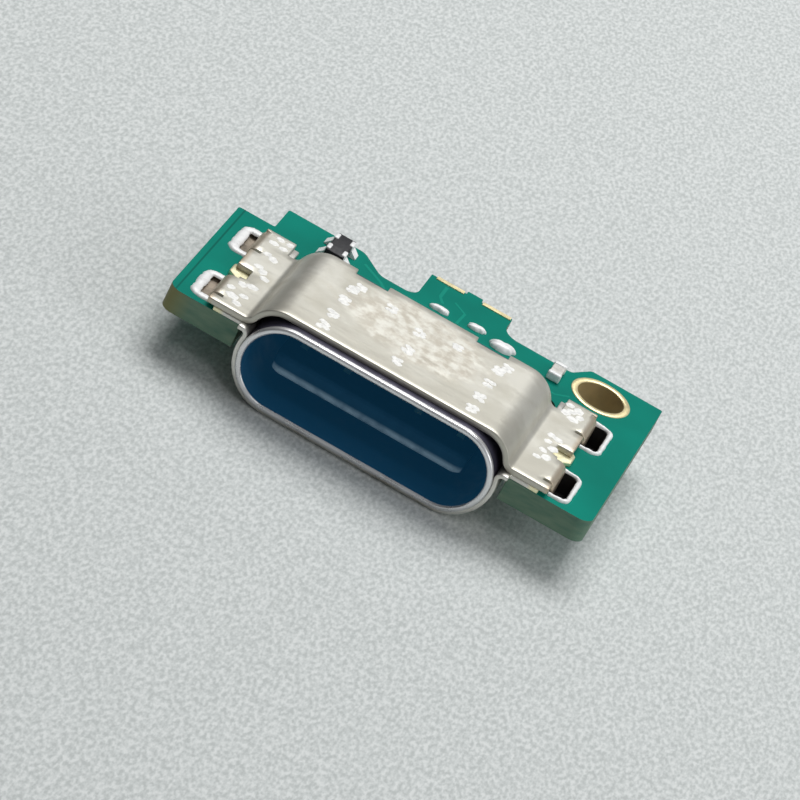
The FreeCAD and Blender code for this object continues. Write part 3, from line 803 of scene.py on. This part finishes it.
def bead_points(loop, width):
    points, faces = [], []
    count = len(loop)
    across = 7
    swell = 1.0
    for i in range(count):
        here = Vector(loop[i])
        along = (Vector(loop[min(i + 1, count - 1)]) - Vector(loop[max(i - 1, 0)])).normalized()
        out = Vector((along.y, -along.x))
        swell = 0.6 * swell + 0.4 * (1 + bead_wobble * rough_hand.uniform(-1, 1))
        for k in range(across + 1):
            t = math.pi * k / across
            spot = here + out * (width / 2 * (math.cos(t) * swell))
            points.append((spot.x, spot.y, board_top + bead_height * swell * math.sin(t)))
    for i in range(count - 1):
        for k in range(across):
            a = i * (across + 1) + k
            faces.append([a, a + 1, a + across + 2, a + across + 1])
        a, b = i * (across + 1), i * (across + 1) + across
        faces.append([a, a + across + 1, b + across + 1, b])
    for end in (0, count - 1):
        faces.append([end * (across + 1) + k for k in range(across + 1)])
    return points, faces


def open_run(side, start, room):
    loop = slot_loop(side, start, room)
    size = len(loop)
    edge = leg_half - cover_sheet / 2
    outside = [abs(x) > edge for x, y in loop]
    first = next(i for i in range(size) if outside[i] and not outside[i - 1])
    run = []
    while outside[(first + len(run)) % size] and len(run) < size:
        run.append(loop[(first + len(run)) % size])
    dense = []
    for a, b in zip(run, run[1:]):
        count = max(1, math.ceil(math.dist(a, b) / bead_step))
        dense += [(a[0] + (b[0] - a[0]) * i / count, a[1] + (b[1] - a[1]) * i / count) for i in range(count)]
    return dense + [run[-1]]


def solder_skin(name, points, faces, sharp_angle):
    piece = mesh_piece(name, points, faces, [solder])
    face_outward(piece, join=True)
    shade_smooth(piece, sharp_angle)
    return piece


for side_name, side in (("left", -1), ("right", 1)):
    for end_name, start in zip(("front", "rear"), leg_starts):
        tag = "%s_%s" % (end_name, side_name)
        leg_joint("joint_" + tag, "leg_solder_" + tag, side, start)
        width, room = (0.34, plating - 0.04) if side < 0 else (0.16, plating + 0.05)
        points, faces = bead_points(open_run(side, start, room), width)
        settle(solder_skin("bead_" + tag, points, faces, 60), "solder")

# %% [markdown]
# The lumps behind the socket are frozen drops. A ball is pressed flat onto the board, and each point is
# pushed a little in or out by a slow wave, so that no two drops match.

# %% Frozen drops
def drop(name, node, seed):
    low, high = box_mm(node)
    middle = (low + high) / 2
    half = (high - low) / 2
    wave = random.Random(seed)
    turns = [wave.uniform(0, 6.28) for _ in range(4)]
    rings, count = 12, 40
    points, faces = [], []
    for r in range(rings + 1):
        lift = math.pi / 2 * r / rings
        for i in range(count):
            t = 2 * math.pi * i / count
            swell = 1 + 0.11 * math.sin(2 * t + turns[0]) + 0.09 * math.sin(3 * t + turns[1])
            swell += 0.06 * math.sin(7 * t + turns[2])
            square = 1 / max(abs(math.cos(t)) ** 3 + abs(math.sin(t)) ** 3, 1e-6) ** (1 / 3)
            reach = math.cos(lift) ** 0.55 * min(swell, 1.08) * square * 0.92
            dent = 1 - 0.28 * math.cos(lift) ** 2 * (1 + math.sin(4 * t + turns[3])) / 2
            points.append((middle.x + half.x * min(reach, 1) * math.cos(t),
                           middle.y + half.y * min(reach, 1) * math.sin(t),
                           low.z + 2 * half.z * math.sin(lift) * (dent if r < rings else 1)))
    for r in range(rings):
        faces += ring_quads(r, r + 1, count)
    faces.append(list(range(count))[::-1])
    settle(solder_skin(name, points, faces, 80), "solder", node)


for number in (1, 2, 3):
    drop("drop_%d" % number, "rear_solder_%d" % number, 20 + number)

# %% [markdown]
# ## The moulding
# Seen through the opening there is only dark blue: the tongue, the step behind it and the base that closes
# the tube. The tongue is a thin plate with rounded front corners and a bevel all round its tip. A highlight
# is painted pale along the lower front edge: the moulding's finish lightens there by height and depth.

# %% Tongue and base
tongue_low, tongue_high = box_mm("insulator")
tongue_tip = tongue_low.y
tongue_half_width = 6.69 / 2
tongue_half = 0.346
tongue_corner = 0.30
tongue_bevel = 0.09
base_front = 4.50


def tongue_ring(inset, z):
    half = tongue_half_width - inset
    corners = [(-half, base_front, 0), (-half, tongue_tip + inset, tongue_corner),
               (half, tongue_tip + inset, tongue_corner), (half, base_front, 0)]
    return [(x, y, z) for x, y in rounded(corners, 8)]


tongue_levels = [(tongue_bevel, -tongue_half), (0, -tongue_half + tongue_bevel),
                 (0, tongue_half - tongue_bevel), (tongue_bevel, tongue_half)]
tongue_points = [point for inset, z in tongue_levels for point in tongue_ring(inset, z)]
ring_size = len(tongue_points) // len(tongue_levels)
tongue_faces = [list(range(ring_size))[::-1], list(range(len(tongue_points) - ring_size, len(tongue_points)))]
for level in range(len(tongue_levels) - 1):
    tongue_faces += ring_quads(level, level + 1, ring_size)
tongue = mesh_piece("tongue", tongue_points, tongue_faces, [moulding])
soften(tongue, 0.02, angle=30)
settle(tongue, "blue_moulding", "insulator")


def moulded_block(name, ring_points, front, rear):
    count = len(ring_points)
    points = [(x, y, z) for y in (front, rear) for x, z in ring_points]
    faces = [list(range(count)), list(range(count, 2 * count))[::-1]]
    faces += [[i, count + i, count + (i + 1) % count, (i + 1) % count] for i in range(count)]
    piece = mesh_piece(name, points, faces, [moulding])
    face_outward(piece)
    soften(piece, 0.04)
    settle(piece, "blue_moulding", "insulator")


moulded_block("base_plug", stadium_ring(mouth_radius - 0.02), base_front, tube_rear)
moulded_block("tongue_step", corner_box(-3.65, 3.65, -0.8, 0.8, 0.3), 3.90, base_front)
moulded_block("rear_block", corner_box(-3.8, 3.8, -1.10, 1.00, 0.12), tube_rear, tongue_high.y)

# %% [markdown]
# ## Small parts
# The chip array and the capacitor keep their solids' places and get rounded bodies. One helper makes a
# block with soft edges from a node's own box.

# %% Chip, terminals and capacitor
def soft_block(name, node, material, slot, edge):
    low, high = box_mm(node)
    points = [(x, y, z) for z in (low.z, high.z) for x, y in
              ((low.x, low.y), (high.x, low.y), (high.x, high.y), (low.x, high.y))]
    faces = [[3, 2, 1, 0], [4, 5, 6, 7], [0, 1, 5, 4], [1, 2, 6, 5], [2, 3, 7, 6], [3, 0, 4, 7]]
    piece = mesh_piece(name, points, faces, [material])
    soften(piece, edge, segments=3)
    settle(piece, slot, node)


soft_block("array_body", "chip_body", chip_plastic, "chip_black", 0.04)
for number in range(1, 5):
    soft_block("array_terminal_%d" % number, "chip_terminal_%d" % number, solder, "solder", 0.04)
soft_block("capacitor_middle", "capacitor_body", ceramic, "ceramic_tan", 0.03)
for end_name in ("front", "rear"):
    soft_block("capacitor_end_" + end_name, "capacitor_terminal_" + end_name, solder, "solder", 0.06)

# %% [markdown]
# The remaining solids are already right in shape and only need a finish: the contacts, the plates, the
# gilded pads and the solder under the tails.

# %% Finishes on the solids that stay
kept_finishes = {"contact": contact_gold, "plate": cradle_finish, "edge_pad": gold, "tail_solder": solder,
                 "chip_solder": solder}
for node_name, piece in nodes.items():
    for key, material in kept_finishes.items():
        if key in node_name and "plating" not in node_name:
            piece.data.materials.clear()
            piece.data.materials.append(material)
print("kept solids dressed")

# %% [markdown]
# ## Weld spots
# The cover is laser welded to the tube and its flanges to the lower sheet. Each shot leaves a tiny crater
# with a raised bright rim. The crater is a turned profile, only a hundredth of a millimetre high, and the
# rim wobbles so that the spots look shot and not stamped. On the cover's top four shots make one spot.

# %% Craters on the cover and the flanges
def crater(name, x, y, z, radius, seed):
    wave = random.Random(seed)
    turns = [wave.uniform(0, 6.28) for _ in range(3)]
    profile = [(0.0, 0.004), (0.30, 0.003), (0.50, 0.010), (0.72, 0.016), (0.9, 0.009), (1.0, -0.004)]
    count = 16
    points = [(x, y, z + profile[0][1])]
    for share, lift in profile[1:]:
        for i in range(count):
            t = 2 * math.pi * i / count
            swell = 1 + 0.12 * math.sin(2 * t + turns[0]) + 0.09 * math.sin(5 * t + turns[1])
            points.append((x + radius * share * swell * math.cos(t), y + radius * share * swell * math.sin(t),
                           z + lift))
    faces = [[0, 1 + i, 1 + (i + 1) % count] for i in range(count)]
    for r in range(len(profile) - 2):
        for i in range(count):
            j = (i + 1) % count
            a = 1 + r * count
            faces.append([a + i, a + count + i, a + count + j, a + j])
    piece = mesh_piece(name, points, faces, [weld])
    shade_smooth(piece)
    settle(piece, "tinned_steel")


top_spots = [(-2.47, y) for y in (3.97, 3.08, 1.90, 1.04)] + [(2.68, y) for y in (4.06, 2.99, 1.95, 1.04)]
top_spots += [(-2.30, 4.35), (2.85, 4.45), (0.0, 1.30), (0.05, 2.33), (0.04, 3.63), (-1.15, 4.13),
              (1.24, 4.07)]
shots = [(along_x, along_y) for along_y in (-0.12, 0.12) for along_x in (-0.075, 0.075)]
sunk = 0.003
for number, (x, y) in enumerate(top_spots):
    for shot, (along_x, along_y) in enumerate(shots):
        crater("weld_top_%d_%d" % (number, shot), x + along_x + rough_hand.uniform(-0.03, 0.03),
               y + along_y + rough_hand.uniform(-0.05, 0.05), cover_top - sunk,
               rough_hand.uniform(0.115, 0.155), 50 + 4 * number + shot)
left_spots = [(-5.50, 5.60, 0.17), (-5.14, 5.55, 0.15), (-5.40, 6.02, 0.15), (-5.05, 6.00, 0.14),
              (-5.17, 4.60, 0.19), (-5.16, 3.55, 0.18), (-4.98, 3.20, 0.17), (-5.10, 2.35, 0.20),
              (-5.42, 1.25, 0.22), (-5.16, 0.95, 0.17), (-5.12, 1.55, 0.16), (-5.40, 2.20, 0.17),
              (-5.38, 3.75, 0.16), (-5.42, 4.75, 0.15), (-5.62, 1.70, 0.15)]
right_spots = [(5.06, 5.40, 0.19), (5.38, 5.85, 0.20), (5.36, 5.20, 0.20), (5.05, 5.95, 0.15),
               (5.33, 3.54, 0.17), (5.36, 2.84, 0.19), (5.33, 2.16, 0.19), (5.12, 2.50, 0.15),
               (5.10, 3.15, 0.14), (5.20, 5.62, 0.16), (5.52, 5.50, 0.16), (5.08, 3.60, 0.15),
               (5.06, 1.95, 0.14)]
for number, (x, y, radius) in enumerate(left_spots + right_spots):
    crater("weld_flange_%d" % number, x, y, flange_top - sunk, radius, 90 + number)

# %% [markdown]
# ## Tracks under the mask
# Copper tracks lift the green mask by a hair and make it look lighter. Each is a thin ribbon that follows a
# few points on the board: a chevron on the tab, one into the tab's corner, one along the bay and one beside
# the screw hole.

# %% Tracks
def track(name, path, width, lift=0.006):
    points, faces = [], []
    for i, here in enumerate(path):
        before, after = Vector(path[max(i - 1, 0)]), Vector(path[min(i + 1, len(path) - 1)])
        along = (after - before).normalized()
        out = Vector((along.y, -along.x)) * width / 2
        for share, z in ((-1.0, 0.0), (-0.8, lift), (0.8, lift), (1.0, 0.0)):
            points.append((here[0] + out.x * share, here[1] + out.y * share, board_top + z))
    for i in range(len(path) - 1):
        a = 4 * i
        faces += [[a + k, a + k + 1, a + k + 5, a + k + 4] for k in range(3)]
    piece = mesh_piece(name, points, faces, [track_green])
    face_outward(piece, up=1)
    settle(piece, "board_green")


track("track_chevron", [(0.15, 8.85), (0.62, 8.48), (0.57, 7.62)], 0.10)
track("track_bay", [(-1.55, 6.75), (-2.15, 7.55), (-2.9, 8.1)], 0.12)
track("track_hole", [(3.0, 7.0), (4.4, 6.75), (4.85, 7.1)], 0.10)
track("track_tab", [(-0.35, 9.5), (-0.35, 8.7), (-0.15, 8.35)], 0.12)

# %% [markdown]
# ## Floor, light and camera
# A pale floor and soft lamps: a large one high behind, so that the shadow falls towards the viewer as in the
# photo, a small weak one in front that gives the cover's front edge its bright line, and one from the right.
# The world is plain and a little brighter on the right. The camera stands 164 mm away with a long lens and is
# rolled, because the photo was taken that way.

# %% Floor and lamps
def floor_finish():
    material, tree, shader = new_finish("pale_floor", (0.60, 0.63, 0.62), 0.0, 0.8)
    paper = add_noise(tree, 8500, 2, (1, 0.47, 1))
    tone = add_ramp(tree, paper, [(0.34, (0.50, 0.53, 0.52)), (0.5, (0.60, 0.63, 0.62)),
                                  (0.66, (0.71, 0.735, 0.725))])
    tree.links.new(tone, shader.inputs["Base Color"])
    return material


floor_z = solid_low.z / MM
floor_half = 400
floor_corners = [(x * floor_half, y * floor_half, floor_z) for x, y in ((-1, -1), (1, -1), (1, 1), (-1, 1))]
floor = mesh_piece("floor", floor_corners, [[0, 1, 2, 3]], [floor_finish()])
object_middle = Vector((0, 4.5, 0))


def soft_lamp(name, place, size, power):
    data = bpy.data.lights.new(name, "AREA")
    data.shape = "DISK"
    data.size = size * MM
    data.energy = power
    lamp = bpy.data.objects.new(name, data)
    lamp.location = Vector(place) * MM
    lamp.rotation_mode = "QUATERNION"
    lamp.rotation_quaternion = (object_middle - Vector(place)).to_track_quat("-Z", "Y")
    bpy.context.scene.collection.objects.link(lamp)


soft_lamp("high_lamp", (-14, 111, 210), 185, 0.485)
soft_lamp("edge_lamp", (30, -70, 115), 30, 0.014)
soft_lamp("right_lamp", (120, -10, 60), 60, 0.03)
world = bpy.data.worlds.new("studio")
bpy.context.scene.world = world
world.use_nodes = True
sky = world.node_tree
place = sky.nodes.new("ShaderNodeTexCoord")
split = sky.nodes.new("ShaderNodeSeparateXYZ")
sky.links.new(place.outputs["Generated"], split.inputs["Vector"])
dark_left, bright_right = 0.03, 0.36
level = add_range(sky, split.outputs["X"], -0.7, 0.7, dark_left, bright_right)
sky.nodes["Background"].inputs["Color"].default_value = (0.95, 0.97, 1.0, 1)
sky.links.new(level, sky.nodes["Background"].inputs["Strength"])

# %% [markdown]
# The camera was fitted to points measured in the photo. From the target it stands back by azimuth and
# elevation, and its own right and up are then turned by the roll. The lens follows from how many pixels of
# the 800 a millimetre at the target covers.

# %% Camera
azimuth, elevation, roll = math.radians(4.51), math.radians(28.26), math.radians(27.48)
target = Vector((0.546, 2.169, 0.089))
distance = 164.4
pixels_per_mm = 32.61
frame_pixels = 800
sensor_width = 36
back = Vector((math.sin(azimuth) * math.cos(elevation), -math.cos(azimuth) * math.cos(elevation),
               math.sin(elevation)))
level_right = Vector((math.cos(azimuth), math.sin(azimuth), 0))
level_up = back.cross(level_right)
right = math.cos(roll) * level_right + math.sin(roll) * level_up
up = -math.sin(roll) * level_right + math.cos(roll) * level_up
camera_data = bpy.data.cameras.new("photo_camera")
camera = bpy.data.objects.new("photo_camera", camera_data)
bpy.context.scene.collection.objects.link(camera)
camera_data.sensor_width = sensor_width
camera_data.lens = sensor_width * pixels_per_mm * distance / frame_pixels
camera_data.clip_start = 0.01
camera_data.clip_end = 10
turned_axes = Matrix((right, up, back)).transposed()
camera.matrix_world = Matrix.Translation((target + back * distance) * MM) @ turned_axes.to_4x4()
bpy.context.scene.camera = camera
bpy.context.scene.view_settings.view_transform = "Standard"
print("lens in mm:", round(camera_data.lens, 1))
